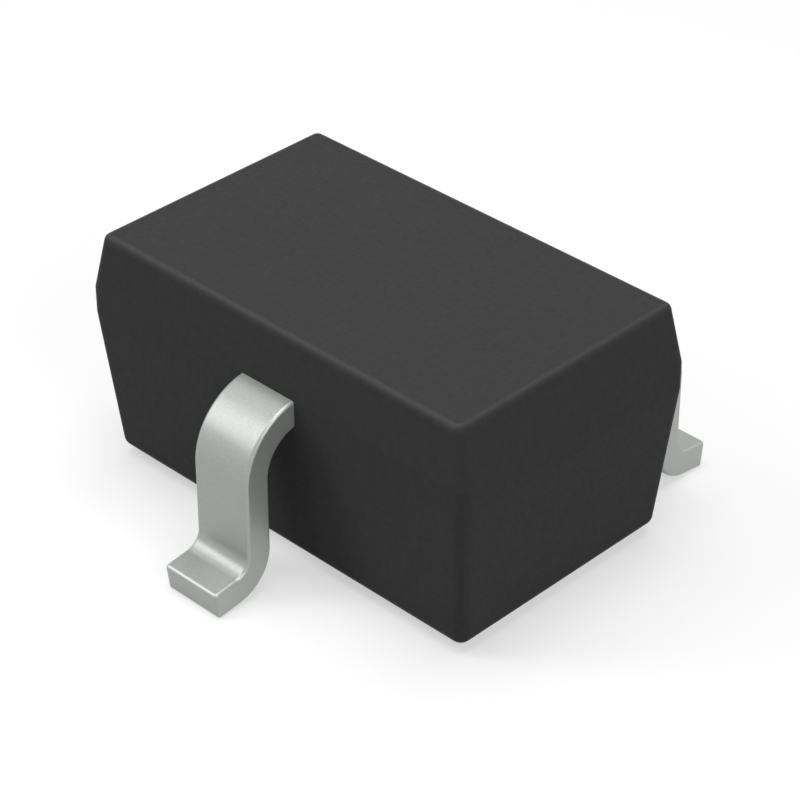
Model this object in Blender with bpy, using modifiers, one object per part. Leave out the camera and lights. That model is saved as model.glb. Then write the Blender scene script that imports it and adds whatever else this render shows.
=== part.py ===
"""A three-lead surface-mount rectifier diode, at its real size in metres.

A black moulded body holds a stamped lead frame of three gull-wing leads. The single lead
of one long side carries the silicon chip on its paddle, one lead of the other side takes
the bond wire, and the third is a spare with no connection.

+X runs along the body, the cathode lead points to -Y, and z = 0 is the board surface
under the feet, below the middle of the body.
"""

import math

import bmesh
import bpy
from mathutils import Vector
from mathutils.geometry import interpolate_bezier

# Moulded body
BODY_LENGTH = 2.000e-3
BODY_WIDTH = 1.212e-3
STANDOFF = 0.037e-3
LOWER_HEIGHT = 0.640e-3
BAND_HEIGHT = 0.110e-3
UPPER_HEIGHT = 0.250e-3
UPPER_END_DRAFT = math.radians(13.2)
UPPER_SIDE_DRAFT = math.radians(6.1)
LOWER_END_DRAFT = math.radians(5.1)
LOWER_SIDE_DRAFT = math.radians(5.1)
BODY_EDGE_RADIUS = 0.050e-3
BODY_EDGE_STEPS = 4

# Lead strip, bent to a gull wing whose foot slopes down to the toe
LEAD_THICKNESS = 0.116e-3
LEAD_WIDTH = 0.284e-3
LEAD_SPAN = 2.052e-3
LEAD_PITCH = 1.300e-3
ARM_HEIGHT = 0.729e-3
RISER_FACE = 0.856e-3
UPPER_BEND_RADIUS = 0.170e-3
LOWER_BEND_RADIUS = 0.071e-3
FOOT_SLOPE = math.radians(7.2)
LEAD_EDGE_RADIUS = 0.014e-3
LEAD_EDGE_STEPS = 3
BEND_STEPS = 10

# Chip paddle, the inner end of the cathode lead
PADDLE_WIDTH = 0.620e-3
PADDLE_LENGTH = 0.540e-3
PADDLE_END = -0.080e-3

# Bond posts, the inner ends of the other two leads
POST_WIDTH = 0.500e-3
POST_LENGTH = 0.200e-3
POST_END = 0.230e-3
PLATE_CORNER = 0.040e-3
CORNER_STEPS = 3

# Chip, solder and top contact
CHIP_SIDE = 0.300e-3
CHIP_HEIGHT = 0.100e-3
SOLDER_THICKNESS = 0.012e-3
SOLDER_BORDER = 0.020e-3
PAD_DIAMETER = 0.180e-3
PAD_THICKNESS = 0.004e-3
ROUND_STEPS = 32

# Bond wire
WIRE_DIAMETER = 0.025e-3
BALL_DIAMETER = 0.070e-3
BALL_HEIGHT = 0.020e-3
LOOP_HEIGHT = 0.060e-3
STITCH_LENGTH = 0.080e-3
STITCH_WIDTH = 0.055e-3
STITCH_END_THICKNESS = 0.006e-3
STITCH_SHIFT = 0.060e-3
BALL_ROUND_SHARE = 0.40
LOOP_PEAK_SHARE = 0.24
LOOP_EASE_SHARE = 0.55
STITCH_EASE_SHARE = 0.40
WIRE_CORE_SHARE = 0.70
WIRE_STEPS = 12
WIRE_ROUND_STEPS = 2

# Fits, cuts and shading
MOULD_GAP = 0.002e-3
SEAT_GAP = 0.001e-3
OVERRUN = 0.076e-3
WELD_DISTANCE = 0.0005e-3
EDGE_ANGLE = math.radians(40)
SMOOTH_ANGLE = math.radians(35)

# Heights above the board
BODY_HEIGHT = LOWER_HEIGHT + BAND_HEIGHT + UPPER_HEIGHT
PLATE_TOP = ARM_HEIGHT + LEAD_THICKNESS / 2
SOLDER_SEAT = PLATE_TOP + SEAT_GAP
CHIP_SEAT = SOLDER_SEAT + SOLDER_THICKNESS + SEAT_GAP
PAD_SEAT = CHIP_SEAT + CHIP_HEIGHT + SEAT_GAP
BALL_SEAT = PAD_SEAT + PAD_THICKNESS + SEAT_GAP
STITCH_SEAT = PLATE_TOP + SEAT_GAP

# Places in plan
CHIP_PLACE = -PADDLE_END - PADDLE_LENGTH / 2
POST_PLACE = POST_END + POST_LENGTH / 2

# The middle line of a strip, from the body's middle to the toe: the length of each stretch
# and how far it turns down
UPPER_BEND = UPPER_BEND_RADIUS + LEAD_THICKNESS / 2
LOWER_BEND = LOWER_BEND_RADIUS + LEAD_THICKNESS / 2
RISER_PLACE = RISER_FACE - LEAD_THICKNESS / 2
UPPER_TURN = math.radians(90)
LOWER_TURN = UPPER_TURN - FOOT_SLOPE
HEEL_PLACE = RISER_PLACE + LOWER_BEND * (1 - math.cos(LOWER_TURN))
TOE_PLACE = (LEAD_SPAN - LEAD_THICKNESS * math.sin(FOOT_SLOPE)) / 2
FOOT_LENGTH = (TOE_PLACE - HEEL_PLACE) / math.cos(FOOT_SLOPE)
TOE_ROUND = LEAD_EDGE_RADIUS * (math.cos(FOOT_SLOPE) + math.sin(FOOT_SLOPE) - 1)
TOE_HEIGHT = LEAD_THICKNESS * math.cos(FOOT_SLOPE) / 2 - TOE_ROUND
HEEL_HEIGHT = TOE_HEIGHT + FOOT_LENGTH * math.sin(FOOT_SLOPE)
RISER_LENGTH = ARM_HEIGHT - UPPER_BEND - LOWER_BEND * math.sin(LOWER_TURN) - HEEL_HEIGHT
STRETCHES = (
    (RISER_PLACE - UPPER_BEND, 0),
    (UPPER_BEND * UPPER_TURN, UPPER_TURN),
    (RISER_LENGTH, 0),
    (LOWER_BEND * LOWER_TURN, -LOWER_TURN),
    (FOOT_LENGTH, 0),
)
STRIP_END = sum(length for length, turn in STRETCHES)


def new_collection(name):
    collection = bpy.data.collections.new(name)
    bpy.context.scene.collection.children.link(collection)
    return collection


def new_material(name, colour, metallic, roughness):
    """A plain Principled material with a linear colour."""
    material = bpy.data.materials.new(name)
    material.use_nodes = True
    shader = material.node_tree.nodes["Principled BSDF"]
    shader.inputs["Base Color"].default_value = (*colour, 1.0)
    shader.inputs["Metallic"].default_value = metallic
    shader.inputs["Roughness"].default_value = roughness
    return material


def new_object(name, bm, collection, location, turn=0.0):
    """An object made of a bmesh, turned about its own vertical axis."""
    bmesh.ops.recalc_face_normals(bm, faces=bm.faces)
    mesh = bpy.data.meshes.new(name)
    bm.to_mesh(mesh)
    bm.free()
    obj = bpy.data.objects.new(name, mesh)
    obj.location = location
    obj.rotation_euler.z = turn
    collection.objects.link(obj)
    return obj


def as_cutter(obj):
    """A helper that shapes other pieces and isn't one itself."""
    obj.hide_render = True
    obj.display_type = "WIRE"
    return obj


def add_bevel(obj, width, steps):
    """Rounds the sharp edges and leaves the shallow ones of drafts and bends."""
    bevel = obj.modifiers.new("rounded edges", "BEVEL")
    bevel.width = width
    bevel.segments = steps
    bevel.limit_method = "ANGLE"
    bevel.angle_limit = EDGE_ANGLE


def add_boolean(obj, other, operation):
    boolean = obj.modifiers.new(other.name, "BOOLEAN")
    boolean.object = other
    boolean.operation = operation


def box(width, depth, height):
    """A box that stands on the middle of its underside."""
    bm = bmesh.new()
    bmesh.ops.create_cube(bm, size=1)
    bmesh.ops.scale(bm, verts=bm.verts, vec=(width, depth, height))
    bmesh.ops.translate(bm, verts=bm.verts, vec=(0, 0, height / 2))
    return bm


def disc(diameter, height):
    """A round plate that stands on the middle of its underside."""
    bm = bmesh.new()
    bmesh.ops.create_cone(
        bm,
        cap_ends=True,
        segments=ROUND_STEPS,
        radius1=diameter / 2,
        radius2=diameter / 2,
        depth=height,
    )
    bmesh.ops.translate(bm, verts=bm.verts, vec=(0, 0, height / 2))
    return bm


def body_blank():
    """The moulding before it is cut: a vertical band along the parting line, with a drafted
    half above it and a deeper one below."""
    bm = box(BODY_LENGTH, BODY_WIDTH, BODY_HEIGHT)
    for height in (LOWER_HEIGHT, LOWER_HEIGHT + BAND_HEIGHT):
        everything = bm.verts[:] + bm.edges[:] + bm.faces[:]
        bmesh.ops.bisect_plane(
            bm, geom=everything, plane_co=(0, 0, height), plane_no=(0, 0, 1)
        )
    for vertex in bm.verts:
        above = max(0, vertex.co.z - LOWER_HEIGHT - BAND_HEIGHT)
        below = max(0, LOWER_HEIGHT - vertex.co.z)
        end = above * math.tan(UPPER_END_DRAFT) + below * math.tan(LOWER_END_DRAFT)
        side = above * math.tan(UPPER_SIDE_DRAFT) + below * math.tan(LOWER_SIDE_DRAFT)
        vertex.co.x -= math.copysign(end, vertex.co.x)
        vertex.co.y -= math.copysign(side, vertex.co.y)
    return bm


def filleted(corners, radius):
    """The points of an outline through these corners, with an arc at each of them but the
    first and the last."""
    points = [corners[0]]
    for before, corner, after in zip(corners, corners[1:], corners[2:]):
        back = (before - corner).normalized()
        ahead = (after - corner).normalized()
        half_angle = back.angle(ahead) / 2
        centre = corner + (back + ahead).normalized() * radius / math.sin(half_angle)
        start = corner + back * radius / math.tan(half_angle) - centre
        end = corner + ahead * radius / math.tan(half_angle) - centre
        for step in range(CORNER_STEPS + 1):
            points.append(centre + start.slerp(end, step / CORNER_STEPS) * radius)
    points.append(corners[-1])
    return points


def folded(along):
    """How far out from the body's middle, and how far down from the arm, a point of the
    flat strip lies once the strip is bent."""
    out = down = heading = 0
    for length, turn in STRETCHES:
        travel = min(along, length)
        ahead = heading + turn * travel / length
        if turn:
            radius = length / turn
            out += radius * (math.sin(ahead) - math.sin(heading))
            down += radius * (math.cos(heading) - math.cos(ahead))
        else:
            out += travel * math.cos(heading)
            down += travel * math.sin(heading)
        heading = ahead
        along -= travel
    return out, down


def bend_stations():
    """Where the flat strip is cut across so that it can follow its bends."""
    stations = []
    start = 0
    for length, turn in STRETCHES:
        if turn:
            stations += [start + length * step / BEND_STEPS for step in range(BEND_STEPS + 1)]
        start += length
    return stations


def lead_sheet(plate, strip_end, grow):
    """The middle surface of a lead that points to -Y: its stamped outline, with the inner
    plate and the strip, cut across at each step of the bends and then bent. The plate is
    its width, length and inner end."""
    width, length, inner_end = plate
    narrow = LEAD_WIDTH / 2 + grow
    wide = width / 2 + grow
    inner = inner_end - grow
    outer = inner_end + length + grow
    corners = [
        Vector((narrow, strip_end)),
        Vector((narrow, outer)),
        Vector((wide, outer)),
        Vector((wide, inner)),
        Vector((-wide, inner)),
        Vector((-wide, outer)),
        Vector((-narrow, outer)),
        Vector((-narrow, strip_end)),
    ]
    bm = bmesh.new()
    bm.faces.new([bm.verts.new((x, y, 0)) for x, y in filleted(corners, PLATE_CORNER)])
    for station in bend_stations():
        everything = bm.verts[:] + bm.edges[:] + bm.faces[:]
        bmesh.ops.bisect_plane(
            bm, geom=everything, plane_co=(0, station, 0), plane_no=(0, 1, 0)
        )
    for vertex in bm.verts:
        out, down = folded(vertex.co.y)
        vertex.co.y = -out
        vertex.co.z = -down
    return bm


def new_lead(name, plate, collection, place, turn, strip_end=STRIP_END, grow=0.0):
    """A lead, or with some growth its pocket in the moulding."""
    sheet = lead_sheet(plate, strip_end, grow)
    obj = new_object(name, sheet, collection, (place, 0, ARM_HEIGHT), turn)
    wall = obj.modifiers.new("strip thickness", "SOLIDIFY")
    wall.thickness = LEAD_THICKNESS + 2 * grow
    wall.offset = 0
    wall.use_even_offset = True
    add_bevel(obj, LEAD_EDGE_RADIUS + grow, LEAD_EDGE_STEPS)
    return obj


def loop_points(span):
    """The middle line of the bond wire over its own span, from the ball up to the top of
    the loop and down to the stitch."""
    foot = Vector((0, 0, BALL_HEIGHT / 2))
    peak = Vector((span * LOOP_PEAK_SHARE, 0, BALL_HEIGHT + LOOP_HEIGHT))
    stitch = Vector((span, 0, STITCH_SEAT - BALL_SEAT + WIRE_DIAMETER / 2))
    rise = Vector((0, 0, (BALL_HEIGHT + LOOP_HEIGHT) * LOOP_EASE_SHARE))
    ease = Vector((peak.x * LOOP_EASE_SHARE, 0, 0))
    far_ease = Vector(((span - peak.x) * STITCH_EASE_SHARE, 0, 0))
    near = interpolate_bezier(foot, foot + rise, peak - ease, peak, WIRE_STEPS)
    far = interpolate_bezier(peak, peak + far_ease, stitch - far_ease, stitch, WIRE_STEPS)
    return near + far[1:]


def stitch_wedge(grow):
    """The flattened end of the wire, which starts inside the round wire and widens as it
    thins."""
    core = WIRE_DIAMETER * WIRE_CORE_SHARE
    bm = box(
        2 * STITCH_LENGTH + 2 * grow,
        STITCH_WIDTH + 2 * grow,
        STITCH_END_THICKNESS + 2 * grow,
    )
    bmesh.ops.translate(bm, verts=bm.verts, vec=(0, 0, -grow))
    for vertex in bm.verts:
        if vertex.co.x > 0:
            continue
        at_top = vertex.co.z > 0
        vertex.co.y = math.copysign(core / 2 + grow, vertex.co.y)
        vertex.co.z = WIRE_DIAMETER / 2 + (core / 2 + grow if at_top else -core / 2 - grow)
    return bm


def new_wire(name, collection, helpers, grow=0.0):
    """The bond wire, or with some growth its pocket in the moulding: a tube along the loop,
    joined to the pressed ball at one end and the stitch at the other."""
    post = Vector((LEAD_PITCH / 2 - STITCH_SHIFT, POST_PLACE, BALL_SEAT))
    ball = Vector((0, CHIP_PLACE, BALL_SEAT))
    span = (post - ball).length
    turn = math.atan2(post.y - ball.y, post.x - ball.x)
    curve = bpy.data.curves.new(name, "CURVE")
    curve.dimensions = "3D"
    curve.bevel_depth = WIRE_DIAMETER / 2 + grow
    curve.bevel_resolution = WIRE_ROUND_STEPS
    curve.use_fill_caps = True
    spline = curve.splines.new("POLY")
    points = loop_points(span)
    spline.points.add(len(points) - 1)
    for target, point in zip(spline.points, points, strict=True):
        target.co = (*point, 1)
    guide = bpy.data.objects.new(name, curve)
    helpers.objects.link(guide)
    bpy.context.view_layer.update()
    tube = bpy.data.meshes.new_from_object(
        guide.evaluated_get(bpy.context.evaluated_depsgraph_get())
    )
    bpy.data.objects.remove(guide)
    bm = bmesh.new()
    bm.from_mesh(tube)
    bmesh.ops.remove_doubles(bm, verts=bm.verts, dist=WELD_DISTANCE)
    wire = new_object(name, bm, collection, ball, turn)
    pressed = disc(BALL_DIAMETER + 2 * grow, BALL_HEIGHT + 2 * grow)
    pressed_ball = as_cutter(
        new_object(f"{name} ball", pressed, helpers, ball - Vector((0, 0, grow)), turn)
    )
    add_bevel(pressed_ball, BALL_HEIGHT * BALL_ROUND_SHARE, LEAD_EDGE_STEPS)
    end = Vector((post.x, post.y, STITCH_SEAT))
    stitch = as_cutter(new_object(f"{name} stitch", stitch_wedge(grow), helpers, end, turn))
    add_boolean(wire, pressed_ball, "UNION")
    add_boolean(wire, stitch, "UNION")
    return wire


def new_stack(collection, cutters, cut):
    """The solder, the chip and its top contact, one on the other on the paddle."""
    solder_side = CHIP_SIDE + 2 * SOLDER_BORDER
    pieces = (
        ("chip_solder", box, (solder_side, solder_side, SOLDER_THICKNESS), SOLDER_SEAT),
        ("silicon_chip", box, (CHIP_SIDE, CHIP_SIDE, CHIP_HEIGHT), CHIP_SEAT),
        ("anode_contact", disc, (PAD_DIAMETER, PAD_THICKNESS), PAD_SEAT),
    )
    for name, shape, sizes, seat in pieces:
        new_object(name, shape(*sizes), collection, (0, CHIP_PLACE, seat))
        grown = [size + 2 * MOULD_GAP for size in sizes]
        place = (0, CHIP_PLACE, seat - MOULD_GAP)
        cut(as_cutter(new_object(f"{name} pocket", shape(*grown), cutters, place)))


def build():
    for obj in list(bpy.data.objects):
        bpy.data.objects.remove(obj)
    parts = new_collection("Rectifier diode")
    cutters = new_collection("Cutters")

    body = new_object("moulded_body", body_blank(), parts, (0, 0, STANDOFF))
    add_bevel(body, BODY_EDGE_RADIUS, BODY_EDGE_STEPS)

    def cut(pocket):
        add_boolean(body, pocket, "DIFFERENCE")

    paddle = (PADDLE_WIDTH, PADDLE_LENGTH, PADDLE_END)
    post = (POST_WIDTH, POST_LENGTH, POST_END)
    leads = (
        ("cathode_lead", paddle, 0, 0),
        ("anode_lead", post, LEAD_PITCH / 2, math.pi),
        ("spare_lead", post, -LEAD_PITCH / 2, math.pi),
    )
    for name, plate, place, turn in leads:
        new_lead(name, plate, parts, place, turn)
        pocket_end = BODY_WIDTH / 2 + OVERRUN
        pocket = new_lead(f"{name} pocket", plate, cutters, place, turn, pocket_end, MOULD_GAP)
        cut(as_cutter(pocket))
    new_stack(parts, cutters, cut)
    new_wire("bond_wire", parts, cutters)
    cut(as_cutter(new_wire("bond_wire pocket", cutters, cutters, MOULD_GAP)))

    materials = {
        "moulded_body": new_material("black moulding epoxy", (0.055, 0.055, 0.056), 0, 0.55),
        "silicon_chip": new_material("silicon", (0.16, 0.17, 0.20), 0.6, 0.2),
        "chip_solder": new_material("solder", (0.50, 0.50, 0.48), 1, 0.4),
        "anode_contact": new_material("aluminium contact", (0.80, 0.80, 0.82), 1, 0.3),
        "bond_wire": new_material("gold wire", (0.90, 0.62, 0.20), 1, 0.25),
    }
    tin = new_material("matt tin plating", (0.62, 0.62, 0.61), 1, 0.42)
    package = bpy.data.objects.new("diode", None)
    parts.objects.link(package)
    for obj in parts.objects:
        if obj.type != "MESH":
            continue
        obj.data.materials.append(materials.get(obj.name, tin))
        obj.data.shade_smooth()
        obj.data.set_sharp_from_angle(angle=SMOOTH_ANGLE)
        obj.parent = package


build()
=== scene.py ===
import math

import bpy
import numpy as np
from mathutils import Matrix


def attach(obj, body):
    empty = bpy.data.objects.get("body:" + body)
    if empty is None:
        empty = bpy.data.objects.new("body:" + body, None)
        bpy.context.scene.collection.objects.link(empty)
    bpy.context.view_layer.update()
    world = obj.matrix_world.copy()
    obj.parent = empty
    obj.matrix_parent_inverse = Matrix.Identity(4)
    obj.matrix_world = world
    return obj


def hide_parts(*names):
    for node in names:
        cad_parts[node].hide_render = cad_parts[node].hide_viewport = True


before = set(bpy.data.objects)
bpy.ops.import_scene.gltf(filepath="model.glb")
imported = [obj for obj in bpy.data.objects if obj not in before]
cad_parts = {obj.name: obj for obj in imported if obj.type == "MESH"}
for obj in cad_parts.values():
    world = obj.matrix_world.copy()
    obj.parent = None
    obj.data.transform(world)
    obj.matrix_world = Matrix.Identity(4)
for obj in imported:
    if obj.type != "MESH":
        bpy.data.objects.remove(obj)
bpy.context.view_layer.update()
print("frame loaded:", len(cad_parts), "solids")

mm = 0.001
um = 0.000001
mergeGrid = 0.01 * um  # points in the same cell of this grid are made one
leastAngle = 1e-9  # keeps a division by a vanishing angle safe
noiseLow = 0.3  # nearly all values of a noise texture lie between these two
noiseHigh = 0.7


# General tools


def linearColour(hexCode):
    # each sRGB channel c becomes c / 12.92 near black and ((c + 0.055) / 1.055) ** 2.4 above
    channels = np.array([int(hexCode[i:i + 2], 16) for i in (1, 3, 5)]) / 255
    linear = np.where(
        channels <= 0.04045, channels / 12.92, ((channels + 0.055) / 1.055) ** 2.4
    )
    return (*linear, 1.0)


def addNode(tree, kind, inputs=None, **settings):
    # one node: settings go on the node, and each input takes a value or a link from a socket
    node = tree.nodes.new(kind)
    for name, value in settings.items():
        setattr(node, name, value)
    for name, value in (inputs or {}).items():
        if isinstance(value, bpy.types.NodeSocket):
            tree.links.new(value, node.inputs[name])
        else:
            node.inputs[name].default_value = value
    return node


def newMaterial(name):
    material = bpy.data.materials.new(name)
    material.use_nodes = True
    tree = material.node_tree
    tree.nodes.clear()
    return material, tree


def finishMaterial(tree, shader):
    addNode(tree, "ShaderNodeOutputMaterial", {"Surface": shader.outputs[0]})


def surfaceFromRows(name, points, normals, caps, extras=None):
    # points and normals are grids of rows by columns, closed round the columns; the faces
    # join neighbours in the grid, caps are lists of grid places that close its ends, and
    # points that fall together are made one
    rows, columns = points.shape[:2]
    place = np.arange(rows * columns).reshape(rows, columns)
    ahead = np.roll(place, -1, axis=1)
    quads = np.stack([place[:-1], ahead[:-1], ahead[1:], place[1:]], axis=-1).reshape(-1, 4)
    flat = points.reshape(-1, 3)
    grid = np.round(flat / mergeGrid).astype(np.int64)
    _, first, merged = np.unique(grid, axis=0, return_index=True, return_inverse=True)
    merged = merged.reshape(-1)
    triangles = np.concatenate([quads[:, [0, 1, 2]], quads[:, [0, 2, 3]]])
    corners = merged[triangles]
    whole = (
        (corners[:, 0] != corners[:, 1])
        & (corners[:, 1] != corners[:, 2])
        & (corners[:, 2] != corners[:, 0])
    )
    faces = corners[whole].tolist() + [merged[cap].tolist() for cap in caps]
    mesh = bpy.data.meshes.new(name)
    mesh.from_pydata(flat[first].tolist(), [], faces)
    mesh.validate()
    mesh.shade_smooth()
    facing = normals.reshape(-1, 3)[first]
    mesh.normals_split_custom_set_from_vertices(facing.tolist())
    for label, values in (extras or {}).items():
        values = values.reshape(rows * columns, -1)[first]
        kind = "FLOAT_VECTOR" if values.shape[1] == 3 else "FLOAT"
        attribute = mesh.attributes.new(label, kind, "POINT")
        attribute.data.foreach_set("vector" if values.shape[1] == 3 else "value", values.ravel())
    piece = bpy.data.objects.new(name, mesh)
    bpy.context.scene.collection.objects.link(piece)
    return piece


def dress(piece, material):
    piece.data.materials.clear()
    piece.data.materials.append(material)


# Moulded body

body = {
    "length": 2.000 * mm,
    "width": 1.212 * mm,
    "bottom": 0.037 * mm,
    "lowerHeight": 0.640 * mm,
    "bandHeight": 0.110 * mm,
    "upperHeight": 0.250 * mm,
    "lowerEndDraft": math.radians(5.1),
    "lowerSideDraft": math.radians(5.1),
    "upperEndDraft": math.radians(13.2),
    "upperSideDraft": math.radians(6.1),
    "edgeRadius": 0.050 * mm,
    "topRadius": 0.038 * mm,
    "polishLift": 1.5,  # above one, the gloss sits nearer the upper side of the rounding
    "polishPower": 4,  # the larger, the narrower the gloss
    "edgeSteps": 18,
    "ridgeSteps": 6,
    "cornerSteps": 20,
}


def mouldedBody():
    # a block with four levels of corners, grown by a ball: a point is a corner plus the edge
    # radius times the direction it faces; down a wall that direction tilts from below to
    # above, and round a corner it swings evenly from the end wall to the side wall; the
    # topmost level has a smaller ball, for a crisper edge
    r = body["edgeRadius"]
    topRadius = body["topRadius"]
    radii = np.array([r, r, r, topRadius])
    bandLow = body["bottom"] + body["lowerHeight"]
    bandHigh = bandLow + body["bandHeight"]
    top = bandHigh + body["upperHeight"]
    lower = np.array([body["lowerEndDraft"], body["lowerSideDraft"]])
    upper = np.array([body["upperEndDraft"], body["upperSideDraft"]])
    half = np.array([body["length"], body["width"]]) / 2
    heights = np.array([
        body["bottom"] + r,
        bandLow + r * math.tan(lower.mean() / 2),
        bandHigh - r * math.tan(upper.mean() / 2),
        top - topRadius,
    ])
    cores = np.array([
        half - (bandLow - heights[0]) * np.tan(lower) - r / np.cos(lower),
        half - r,
        half - r,
        half - (heights[3] - bandHigh) * np.tan(upper) - topRadius / np.cos(upper),
    ])
    flat = np.zeros(2)
    quarter = np.full(2, math.pi / 2)
    tilts = np.array([-quarter, -lower, flat, upper, quarter])
    steps = (body["edgeSteps"], body["ridgeSteps"], body["ridgeSteps"], body["edgeSteps"])
    level = np.concatenate([np.full(n + 1, i) for i, n in enumerate(steps)])
    share = np.concatenate([np.linspace(0, 1, n + 1) for n in steps])[:, None]
    tilt = tilts[level] * (1 - share) + tilts[level + 1] * share

    signs = np.array([(1, 1), (-1, 1), (-1, -1), (1, -1)])
    swing = np.linspace(0, 1, body["cornerSteps"] + 1)
    swing = np.stack([swing, 1 - swing, swing, 1 - swing])
    cosTilt, sinTilt = np.cos(tilt), np.sin(tilt)
    zero = np.zeros(len(tilt))
    endWall = np.stack([cosTilt[:, 0], zero, sinTilt[:, 0]], axis=-1)[:, None, None]
    sideWall = np.stack([zero, cosTilt[:, 1], sinTilt[:, 1]], axis=-1)[:, None, None]
    between = np.arccos(np.clip((endWall * sideWall).sum(-1, keepdims=True), -1, 1))
    between = np.maximum(between, leastAngle)
    part = swing[None, :, :, None]
    facing = (
        np.sin((1 - part) * between) * endWall + np.sin(part * between) * sideWall
    ) / np.sin(between)
    facing /= np.linalg.norm(facing, axis=-1, keepdims=True)
    mirror = np.concatenate([signs, np.ones((4, 1))], axis=1)[None, :, None]
    facing = facing * mirror
    core = np.concatenate([cores[level], heights[level][:, None]], axis=1)
    points = core[:, None, None] * mirror + radii[level][:, None, None, None] * facing
    rows = len(level)
    points = points.reshape(rows, -1, 3)
    facing = facing.reshape(rows, -1, 3)
    columns = points.shape[1]
    corner = np.arange(4) * (columns // 4)
    caps = [corner[::-1], (rows - 1) * columns + corner]
    # nought on the flat faces, rising to one within the rounding, nearer its upper side
    rounded = np.sin(math.pi * share[:, 0] ** body["polishLift"]) ** body["polishPower"]
    rounded = np.where((level == 0) | (level == 3), rounded, 0)
    rounded = np.tile(rounded[:, None], (1, columns))
    return surfaceFromRows("moulded_body_surface", points, facing, caps, {"rounded": rounded})


bodyPiece = mouldedBody()
print("body surface:", len(bodyPiece.data.polygons), "faces")


# Leads

lead = {
    "thickness": 0.116 * mm,
    "width": 0.284 * mm,
    "span": 2.052 * mm,
    "pitch": 1.300 * mm,
    "armHeight": 0.729 * mm,
    "riserFace": 0.856 * mm,
    "upperBend": 0.170 * mm,
    "lowerBend": 0.071 * mm,
    "footSlope": math.radians(7.2),
    "edgeRadius": 0.014 * mm,
    "edgeSteps": 8,
    "bendSteps": 28,
    "plateCorner": 0.040 * mm,
    "cornerSteps": 10,
    "sideGlossAndPaintedHighlight": 0.5,  # how strong the sheared sides' gloss and painted highlight are, against one on the edges
}
# the flat plates inside the moulding; inner is the place of a plate's inner end
plates = {
    "cathode_lead": {"width": 0.620 * mm, "length": 0.540 * mm, "inner": -0.080 * mm},
    "anode_lead": {"width": 0.500 * mm, "length": 0.200 * mm, "inner": 0.230 * mm},
    "spare_lead": {"width": 0.500 * mm, "length": 0.200 * mm, "inner": 0.230 * mm},
}


def stripStretches():
    # the lengths and turns of the strip's middle line: arm, bend, riser, bend, foot
    t = lead["thickness"]
    slope = lead["footSlope"]
    upper = lead["upperBend"] + t / 2
    lower = lead["lowerBend"] + t / 2
    riser = lead["riserFace"] - t / 2
    turn = math.pi / 2 - slope
    heel = riser + lower * (1 - math.cos(turn))
    toe = (lead["span"] - t * math.sin(slope)) / 2
    foot = (toe - heel) / math.cos(slope)
    rounding = lead["edgeRadius"] * (math.cos(slope) + math.sin(slope) - 1)
    toeHeight = t * math.cos(slope) / 2 - rounding
    heelHeight = toeHeight + foot * math.sin(slope)
    drop = lead["armHeight"] - upper - lower * math.sin(turn) - heelHeight
    return np.array([
        (riser - upper, 0),
        (upper * math.pi / 2, math.pi / 2),
        (drop, 0),
        (lower * turn, -turn),
        (foot, 0),
    ])


def fold(along):
    # the place and heading on the bent middle line, summed over its stretches: straight ones
    # add length times direction, bent ones add radius times the change of sine and cosine
    out = np.zeros_like(along)
    down = np.zeros_like(along)
    heading = np.zeros_like(along)
    start = 0.0
    for index, (length, turn) in enumerate(stripStretches()):
        travel = along - start
        travel = travel if index == 0 else np.maximum(travel, 0)
        travel = np.minimum(travel, length)
        if turn:
            radius = length / turn
            ahead = heading + turn * travel / length
            out += radius * (np.sin(ahead) - np.sin(heading))
            down += radius * (np.cos(heading) - np.cos(ahead))
            heading = ahead
        else:
            out += travel * np.cos(heading)
            down += travel * np.sin(heading)
        start += length
    return out, down, heading


def stripOutline(plate):
    # the right half of the stamped outline from the inner end to the toe: for each row the
    # centre of its rounding, the direction it faces in the flat, and its distance from there
    c = lead["plateCorner"]
    r = lead["edgeRadius"]
    wide = plate["width"] / 2
    narrow = lead["width"] / 2
    inner = plate["inner"]
    outer = inner + plate["length"]
    stretches = stripStretches()
    ends = np.cumsum(stretches[:, 0])
    toe = ends[-1]
    upperBend = np.linspace(ends[0], ends[1], lead["bendSteps"] + 1)
    lowerBend = np.linspace(ends[2], ends[3], lead["bendSteps"] + 1)
    stations = np.concatenate([upperBend, lowerBend])
    corner = np.linspace(0, math.pi / 2, lead["cornerSteps"] + 1)
    rows = [
        (wide - c, inner + c, corner - math.pi / 2, c),
        (wide - c, outer - c, corner, c),
        (narrow + c, outer + c, corner[::-1], -c),
        (narrow - r, stations, 0 * stations, r),
        (narrow - r, toe - r, corner, r),
    ]
    built = []
    for x, s, angle, radius in rows:
        facing = np.stack([np.cos(angle), np.sin(angle)], axis=-1)
        centre = np.stack([x + 0 * angle, s + 0 * angle], axis=-1)
        edge = centre + radius * facing
        built.append(np.concatenate([edge, facing], axis=-1))
    return np.concatenate(built)


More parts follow.
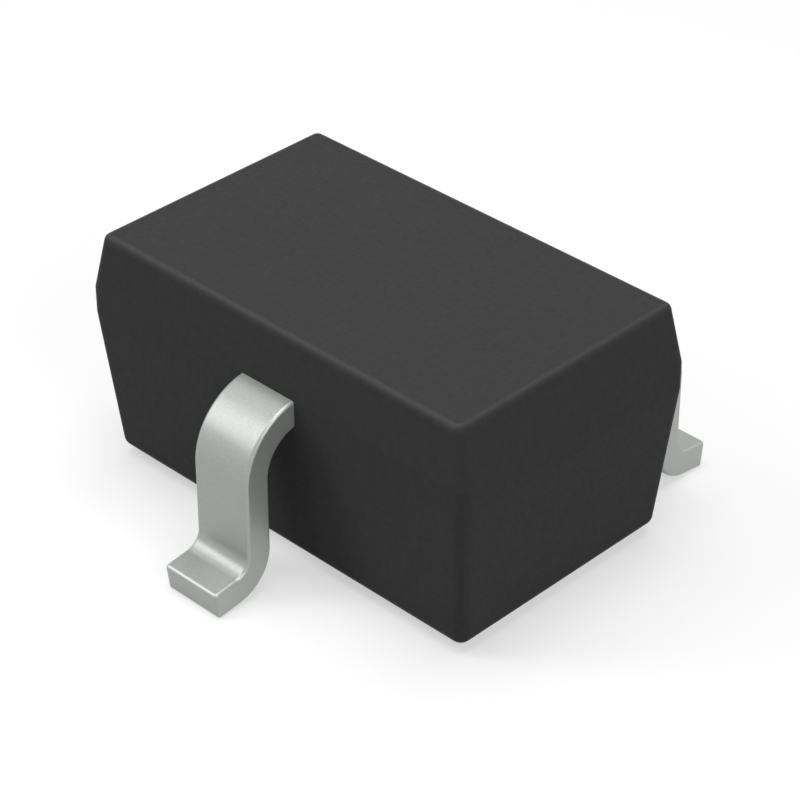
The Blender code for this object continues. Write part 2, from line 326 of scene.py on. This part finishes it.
def gullWing(name, place, side):
    # the flat strip's rim is a rounded edge carried round the outline, and its faces join the
    # rim's two halves; then each point is moved to the bent middle line plus its height above
    # the middle times the direction square to that line
    plate = plates[name]
    r = lead["edgeRadius"]
    t = lead["thickness"]
    outline = stripOutline(plate)
    edge, faced = outline[:, :2], outline[:, 2:]
    upperEdge = np.linspace(math.pi / 2, 0, lead["edgeSteps"] + 1)
    angle = np.concatenate([upperEdge, -upperEdge[::-1]])
    lift = np.where(np.arange(len(angle)) < len(upperEdge), t / 2 - r, r - t / 2)
    rim = (edge - r * faced)[:, None] + r * faced[:, None] * np.cos(angle)[None, :, None]
    height = lift + r * np.sin(angle)
    rows, count = rim.shape[:2]
    shoulder = lead["width"] / 2 + lead["plateCorner"]
    inside = np.minimum(rim[:, 0, 0], shoulder)
    inside[0] = rim[0, 0, 0]
    station = rim[:, 0, 1]

    def column(x, s, v, facing):
        # a line of points down one flat face, all at height v from the strip's middle
        full = np.stack([x, s, np.full(rows, v)], axis=-1)
        return full[:, None], facing[:, None]

    up = np.tile([0.0, 0.0, 1.0], (rows, 1))
    wholeRim = np.concatenate([rim, np.tile(height[None, :, None], (rows, 1, 1))], axis=-1)
    rimFacing = np.concatenate([
        faced[:, None] * np.cos(angle)[None, :, None],
        np.tile(np.sin(angle)[None, :, None], (rows, 1, 1)),
    ], axis=-1)
    mirror = np.array([-1.0, 1.0, 1.0])
    order = [
        (wholeRim, rimFacing),
        column(inside, station, -t / 2, -up),
        column(-inside, station, -t / 2, -up),
        (wholeRim[:, ::-1] * mirror, rimFacing[:, ::-1] * mirror),
        column(-inside, station, t / 2, up),
        column(inside, station, t / 2, up),
    ]
    flat = np.concatenate([pair[0] for pair in order], axis=1)
    facing = np.concatenate([pair[1] for pair in order], axis=1)

    s = flat[..., 1]
    out, down, heading = fold(s)
    sine, cosine = np.sin(heading), np.cos(heading)
    v = flat[..., 2]
    outward = out + v * sine
    upward = lead["armHeight"] - down + v * cosine
    normalOut = facing[..., 1] * cosine + facing[..., 2] * sine
    normalUp = -facing[..., 1] * sine + facing[..., 2] * cosine
    points = np.stack([place + side * flat[..., 0], side * outward, upward], axis=-1)
    normals = np.stack([side * facing[..., 0], side * normalOut, normalUp], axis=-1)

    columns = points.shape[1]
    last = (rows - 1) * columns
    right = np.arange(count)
    left = count + 2 + np.arange(count)[::-1]
    caps = []
    for start, inward in ((0, True), (last, False)):
        for k in range(count - 1):
            quad = start + np.array([right[k], right[k + 1], left[k + 1], left[k]])
            caps.append(quad[::-1] if inward else quad)
    # one in the middle of each bend, and nought on the straight stretches
    ends = np.cumsum(stripStretches()[:, 0])
    bent = np.zeros_like(s)
    for low, high in ((ends[0], ends[1]), (ends[2], ends[3])):
        bent += np.sin(math.pi * np.clip((s - low) / (high - low), 0, 1)) ** 2
    # one in the middle of the rounded edges of the arm and the foot, less on the sheared
    # sides, and nought on the rolled faces; it makes them glossier and lightens their colour as
    # a painted highlight, which fades where the strip runs upright
    glossAndPaintedHighlight = (1 - np.abs(2 * facing[..., 2] ** 2 - 1)) * cosine ** 2
    glossAndPaintedHighlight = np.maximum(glossAndPaintedHighlight, lead["sideGlossAndPaintedHighlight"] * facing[..., 0] ** 2)
    extras = {
        "flatPlace": flat * np.array([side, 1, 1]),
        "cutSide": np.abs(facing[..., 0]),
        "bent": bent,
        "glossAndPaintedHighlight": glossAndPaintedHighlight,
    }
    return surfaceFromRows(f"{name}_surface", points, normals, caps, extras)


leadPieces = {
    "cathode_lead": gullWing("cathode_lead", 0, -1),
    "anode_lead": gullWing("anode_lead", lead["pitch"] / 2, 1),
    "spare_lead": gullWing("spare_lead", -lead["pitch"] / 2, 1),
}
for name, piece in leadPieces.items():
    print(name, "surface:", len(piece.data.polygons), "faces")


# Materials

epoxy = {
    "colour": "#3D3D3E",
    "fillerColour": "#404041",
    "fillerLow": 0.35,
    "fillerHigh": 0.75,
    "specular": 0.03,
    "edgeSpecular": 0.17,
    "ior": 1.55,
    "roughness": 0.58,
    "glossSwing": 0.05,
    "grain": 12 * um,
    "grainHeight": 0.12 * um,
    "filler": 22 * um,
}


def mouldedEpoxy():
    # black epoxy moulding compound from a spark-eroded mould: an even, dull dark grey with a
    # fine matt grain and a faint speckle of silica filler, both at real sizes, and a little
    # more gloss on the rounded edges
    material, tree = newMaterial("black epoxy, moulded")
    place = addNode(tree, "ShaderNodeTexCoord").outputs["Object"]
    filler = addNode(
        tree, "ShaderNodeTexNoise",
        {"Vector": place, "Scale": 1 / epoxy["filler"], "Detail": 2.0, "Roughness": 0.6},
    )
    speckle = addNode(tree, "ShaderNodeValToRGB", {"Fac": filler.outputs["Fac"]})
    speckle.color_ramp.elements[0].position = epoxy["fillerLow"]
    speckle.color_ramp.elements[0].color = linearColour(epoxy["colour"])
    speckle.color_ramp.elements[1].position = epoxy["fillerHigh"]
    speckle.color_ramp.elements[1].color = linearColour(epoxy["fillerColour"])
    grain = addNode(
        tree, "ShaderNodeTexNoise",
        {"Vector": place, "Scale": 1 / epoxy["grain"], "Detail": 3.0, "Roughness": 0.55},
    )
    relief = addNode(
        tree, "ShaderNodeBump",
        {"Height": grain.outputs["Fac"], "Strength": 1.0, "Distance": epoxy["grainHeight"]},
    )
    gloss = addNode(
        tree, "ShaderNodeMapRange",
        {
            "Value": filler.outputs["Fac"],
            "From Min": noiseLow,
            "From Max": noiseHigh,
            "To Min": epoxy["roughness"] + epoxy["glossSwing"],
            "To Max": epoxy["roughness"] - epoxy["glossSwing"],
        },
    )
    rounded = addNode(tree, "ShaderNodeAttribute", attribute_name="rounded").outputs["Fac"]
    polish = addNode(
        tree, "ShaderNodeMapRange",
        {"Value": rounded, "To Min": epoxy["specular"], "To Max": epoxy["edgeSpecular"]},
    )
    shader = addNode(
        tree, "ShaderNodeBsdfPrincipled",
        {
            "Base Color": speckle.outputs["Color"],
            "Roughness": gloss.outputs["Result"],
            "Specular IOR Level": polish.outputs["Result"],
            "IOR": epoxy["ior"],
            "Normal": relief.outputs["Normal"],
        },
    )
    finishMaterial(tree, shader)
    return material


tin = {
    "colour": "#ACAFAC",
    "valleyColour": "#A2A5A2",
    # the edge colour is a painted highlight, laid on the rounded edges and, weaker, on the cut
    # sides
    "paintedEdgeHighlight": "#C2C5C2",
    "metallic": 0.48,
    "roughness": 0.40,
    "glossSwing": 0.03,
    "bendGloss": 0.03,
    "edgeGloss": 0.06,
    "crystal": 9 * um,
    "crystalHeight": 0.25 * um,
    "rollSpacing": 11 * um,
    "rollLength": 260 * um,
    "shearSpacing": 12 * um,
    "shearLength": 90 * um,
    "streakHeight": 0.35 * um,
}


def mattTin():
    # matt tin plated on a stamped strip: a soft satin grey with a fine crystal grain; faint
    # rolling lines run along its faces, and shear lines run across its cut sides; the bends
    # and the edges are smoother, and the edges, and less so the cut sides, carry a painted
    # highlight as a lighter colour; the crystals, really 3 to 5 micrometres across, are drawn
    # coarser so that they show; it is part metal, because a full metal mirrors the white studio
    # and loses the soft grey
    material, tree = newMaterial("matt tin, plated")
    place = addNode(tree, "ShaderNodeTexCoord").outputs["Object"]
    flatPlace = addNode(
        tree, "ShaderNodeAttribute", attribute_name="flatPlace"
    ).outputs["Vector"]
    cutSide = addNode(tree, "ShaderNodeAttribute", attribute_name="cutSide").outputs["Fac"]
    bent = addNode(tree, "ShaderNodeAttribute", attribute_name="bent").outputs["Fac"]
    glossAndPaintedHighlight = addNode(tree, "ShaderNodeAttribute", attribute_name="glossAndPaintedHighlight").outputs["Fac"]
    crystal = addNode(
        tree, "ShaderNodeTexNoise",
        {"Vector": place, "Scale": 1 / tin["crystal"], "Detail": 2.0, "Roughness": 0.6},
    )
    rolled = addNode(
        tree, "ShaderNodeMapping",
        {
            "Vector": flatPlace,
            "Scale": (1 / tin["rollSpacing"], 1 / tin["rollLength"], 0),
        },
    )
    rolling = addNode(
        tree, "ShaderNodeTexNoise",
        {"Vector": rolled.outputs["Vector"], "Scale": 1.0, "Detail": 2.0},
    )
    sheared = addNode(
        tree, "ShaderNodeMapping",
        {
            "Vector": flatPlace,
            "Scale": (0, 1 / tin["shearSpacing"], 1 / tin["shearLength"]),
        },
    )
    shearing = addNode(
        tree, "ShaderNodeTexNoise",
        {"Vector": sheared.outputs["Vector"], "Scale": 1.0, "Detail": 2.0},
    )
    streaks = addNode(
        tree, "ShaderNodeMix",
        {"Factor": cutSide, "A": rolling.outputs["Fac"], "B": shearing.outputs["Fac"]},
        data_type="FLOAT",
    )
    streakRelief = addNode(
        tree, "ShaderNodeBump",
        {"Height": streaks.outputs["Result"], "Strength": 1.0, "Distance": tin["streakHeight"]},
    )
    relief = addNode(
        tree, "ShaderNodeBump",
        {
            "Height": crystal.outputs["Fac"],
            "Strength": 1.0,
            "Distance": tin["crystalHeight"],
            "Normal": streakRelief.outputs["Normal"],
        },
    )
    tone = addNode(tree, "ShaderNodeValToRGB", {"Fac": crystal.outputs["Fac"]})
    tone.color_ramp.elements[0].position = noiseLow
    tone.color_ramp.elements[0].color = linearColour(tin["valleyColour"])
    tone.color_ramp.elements[1].position = noiseHigh
    tone.color_ramp.elements[1].color = linearColour(tin["colour"])
    gloss = addNode(
        tree, "ShaderNodeMapRange",
        {
            "Value": streaks.outputs["Result"],
            "From Min": noiseLow,
            "From Max": noiseHigh,
            "To Min": tin["roughness"] - tin["glossSwing"],
            "To Max": tin["roughness"] + tin["glossSwing"],
        },
    )
    burnished = addNode(
        tree, "ShaderNodeMath",
        {0: bent, 1: -tin["bendGloss"], 2: gloss.outputs["Result"]},
        operation="MULTIPLY_ADD",
    )
    rubbed = addNode(
        tree, "ShaderNodeMath",
        {0: glossAndPaintedHighlight, 1: -tin["edgeGloss"], 2: burnished.outputs[0]},
        operation="MULTIPLY_ADD",
    )
    # painted highlight: the grain's colour is lightened towards the edge colour on the edges and
    # cut sides
    # sockets 6, 7 and 2 are this node's colours A, B and result
    toneWithPaintedHighlight = addNode(
        tree, "ShaderNodeMix",
        {"Factor": glossAndPaintedHighlight, 6: tone.outputs["Color"], 7: linearColour(tin["paintedEdgeHighlight"])},
        data_type="RGBA",
    )
    shader = addNode(
        tree, "ShaderNodeBsdfPrincipled",
        {
            "Base Color": toneWithPaintedHighlight.outputs[2],
            "Metallic": tin["metallic"],
            "Roughness": rubbed.outputs[0],
            "Normal": relief.outputs["Normal"],
        },
    )
    finishMaterial(tree, shader)
    return material


# the saw marks on the silicon and the grains of aluminium and gold, really about a
# micrometre across, are drawn coarser so that they show
innerFinishes = {
    "silicon_chip": {  # a dark blue-grey with a smooth, fairly sharp sheen
        "material": "silicon, sawn",
        "colour": "#6A6E78",
        "darkColour": "#5C606B",
        "metallic": 0.6,
        "roughness": 0.24,
        "glossSwing": 0.06,
        "grain": 14 * um,
        "grainHeight": 0.2 * um,
    },
    "chip_solder": {  # a soft grey metal, slightly uneven where it melted and set again
        "material": "solder, reflowed",
        "colour": "#B9B9B4",
        "darkColour": "#A5A5A0",
        "metallic": 1.0,
        "roughness": 0.38,
        "glossSwing": 0.06,
        "grain": 18 * um,
        "grainHeight": 0.5 * um,
    },
    "anode_contact": {  # a pale, bright metal with a very fine frost
        "material": "aluminium, evaporated",
        "colour": "#DADBDE",
        "darkColour": "#C9CACD",
        "metallic": 1.0,
        "roughness": 0.3,
        "glossSwing": 0.06,
        "grain": 5 * um,
        "grainHeight": 0.1 * um,
    },
    "bond_wire": {  # a warm yellow metal, smooth and bright
        "material": "gold, drawn",
        "colour": "#E6C26A",
        "darkColour": "#D8B25C",
        "metallic": 1.0,
        "roughness": 0.24,
        "glossSwing": 0.06,
        "grain": 6 * um,
        "grainHeight": 0.1 * um,
    },
}


def innerMaterial(finish):
    # the pieces inside the moulding: a colour that varies with a fine grain, and its relief
    material, tree = newMaterial(finish["material"])
    place = addNode(tree, "ShaderNodeTexCoord").outputs["Object"]
    texture = addNode(
        tree, "ShaderNodeTexNoise",
        {"Vector": place, "Scale": 1 / finish["grain"], "Detail": 3.0, "Roughness": 0.6},
    )
    tone = addNode(tree, "ShaderNodeValToRGB", {"Fac": texture.outputs["Fac"]})
    tone.color_ramp.elements[0].position = noiseLow
    tone.color_ramp.elements[0].color = linearColour(finish["darkColour"])
    tone.color_ramp.elements[1].position = noiseHigh
    tone.color_ramp.elements[1].color = linearColour(finish["colour"])
    gloss = addNode(
        tree, "ShaderNodeMapRange",
        {
            "Value": texture.outputs["Fac"],
            "From Min": noiseLow,
            "From Max": noiseHigh,
            "To Min": finish["roughness"] + finish["glossSwing"],
            "To Max": finish["roughness"] - finish["glossSwing"],
        },
    )
    relief = addNode(
        tree, "ShaderNodeBump",
        {"Height": texture.outputs["Fac"], "Strength": 1.0, "Distance": finish["grainHeight"]},
    )
    shader = addNode(
        tree, "ShaderNodeBsdfPrincipled",
        {
            "Base Color": tone.outputs["Color"],
            "Metallic": finish["metallic"],
            "Roughness": gloss.outputs["Result"],
            "Normal": relief.outputs["Normal"],
        },
    )
    finishMaterial(tree, shader)
    return material


dress(bodyPiece, mouldedEpoxy())
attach(bodyPiece, "root")
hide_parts("moulded_body")
tinFinish = mattTin()
for name, piece in leadPieces.items():
    dress(piece, tinFinish)
    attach(piece, "root")
    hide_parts(name)

for name, finish in innerFinishes.items():
    material = innerMaterial(finish)
    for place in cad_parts[name].material_slots:
        place.material = material
print("materials made")


# Stage, light and camera

stage = {
    "floorSize": 120 * mm,
    "floorColour": "#BEBEBE",
    "glow": 0.53,
    "glowStart": 5 * mm,
    "glowEnd": 16 * mm,
    "fill": 0.12,
}


def backgroundRay(tree):
    # one where the camera, a mirror or a glass looks at it, and zero for scattered light
    path = addNode(tree, "ShaderNodeLightPath")
    seen = addNode(
        tree, "ShaderNodeMath",
        {0: path.outputs["Is Camera Ray"], 1: path.outputs["Is Glossy Ray"]},
        operation="MAXIMUM",
    )
    return addNode(
        tree, "ShaderNodeMath",
        {0: seen.outputs[0], 1: path.outputs["Is Transmission Ray"]},
        operation="MAXIMUM",
    ).outputs[0]


def paleFloor():
    # painted board: matt and pale, so that it takes the part's soft shadow; where it is
    # looked at it also glows, as a white studio floor does
    half = stage["floorSize"] / 2
    mesh = bpy.data.meshes.new("floor")
    mesh.from_pydata(
        [(-half, -half, 0), (half, -half, 0), (half, half, 0), (-half, half, 0)], [],
        [(0, 1, 2, 3)],
    )
    floor = bpy.data.objects.new("floor", mesh)
    bpy.context.scene.collection.objects.link(floor)
    material, tree = newMaterial("pale floor, painted")
    lit = addNode(tree, "ShaderNodeBsdfDiffuse", {"Color": linearColour(stage["floorColour"])})
    # the glow rises to full white away from the part, where the lamps no longer reach
    place = addNode(tree, "ShaderNodeTexCoord").outputs["Object"]
    distance = addNode(tree, "ShaderNodeVectorMath", {0: place}, operation="LENGTH")
    whiteness = addNode(
        tree, "ShaderNodeMapRange",
        {
            "Value": distance.outputs["Value"],
            "From Min": stage["glowStart"],
            "From Max": stage["glowEnd"],
            "To Min": stage["glow"],
            "To Max": 1.0,
        },
    )
    strength = addNode(
        tree, "ShaderNodeMath",
        {0: backgroundRay(tree), 1: whiteness.outputs["Result"]},
        operation="MULTIPLY",
    )
    glow = addNode(tree, "ShaderNodeEmission", {"Strength": strength.outputs[0]})
    both = addNode(tree, "ShaderNodeAddShader", {0: lit.outputs[0], 1: glow.outputs[0]})
    finishMaterial(tree, both)
    material.cycles.emission_sampling = "NONE"
    mesh.materials.append(material)


def whiteWorld():
    # white where it is seen or mirrored, and only a faint fill light on the part
    world = bpy.data.worlds.new("white studio")
    bpy.context.scene.world = world
    world.use_nodes = True
    tree = world.node_tree
    tree.nodes.clear()
    strength = addNode(
        tree, "ShaderNodeMapRange",
        {"Value": backgroundRay(tree), "To Min": stage["fill"], "To Max": 1.0},
    )
    background = addNode(
        tree, "ShaderNodeBackground",
        {"Color": linearColour("#FFFFFF"), "Strength": strength.outputs["Result"]},
    )
    addNode(tree, "ShaderNodeOutputWorld", {"Surface": background.outputs[0]})
    world.cycles.sampling_method = "NONE"


lamps = {
    "top lamp": {"turn": 135, "height": 88, "wide": 18 * mm, "tall": 18 * mm, "glow": 3.9},
    "left lamp": {"turn": 225, "height": 38, "wide": 8 * mm, "tall": 20 * mm, "glow": 3.6},
    "right lamp": {"turn": 347, "height": 32, "wide": 14 * mm, "tall": 14 * mm, "glow": 2.4},
}
lampDistance = 24 * mm


def softLamp(name, facts):
    # a soft box that faces the part; turn is measured round the vertical from +X, and the
    # energy grows with the area, so that glow alone sets how bright the lamp's face is
    turn = math.radians(facts["turn"])
    height = math.radians(facts["height"])
    light = bpy.data.lights.new(name, "AREA")
    light.shape = "RECTANGLE"
    light.size = facts["wide"]
    light.size_y = facts["tall"]
    light.energy = facts["glow"] * math.pi * facts["wide"] * facts["tall"]
    lamp = bpy.data.objects.new(name, light)
    lamp.location = (
        lampDistance * math.cos(height) * math.cos(turn),
        lampDistance * math.cos(height) * math.sin(turn),
        lampDistance * math.sin(height) + lead["armHeight"],
    )
    lamp.rotation_euler = (math.pi / 2 - height, 0, turn + math.pi / 2)
    lamp.visible_camera = False
    bpy.context.scene.collection.objects.link(lamp)


view = {
    "place": (6.571797 * mm, -6.610009 * mm, 6.751968 * mm),
    "turn": math.radians(44.4308),
    "height": math.radians(34.1396),
    "lens": 130.669,
    "sensor": 36,
    "near": 0.1 * mm,
    "far": 1000 * mm,
}


def photoCamera():
    # place, turn and lens were fitted to the photo on the corners of the moulded body
    camera = bpy.data.objects.new("camera", bpy.data.cameras.new("camera"))
    camera.data.sensor_width = view["sensor"]
    camera.data.lens = view["lens"]
    camera.data.clip_start = view["near"]
    camera.data.clip_end = view["far"]
    camera.location = view["place"]
    camera.rotation_euler = (math.pi / 2 - view["height"], 0, view["turn"])
    bpy.context.scene.collection.objects.link(camera)
    bpy.context.scene.camera = camera


paleFloor()
whiteWorld()
for name, facts in lamps.items():
    softLamp(name, facts)
photoCamera()
bpy.context.scene.view_settings.view_transform = "Standard"
print("stage, lamps and camera set")
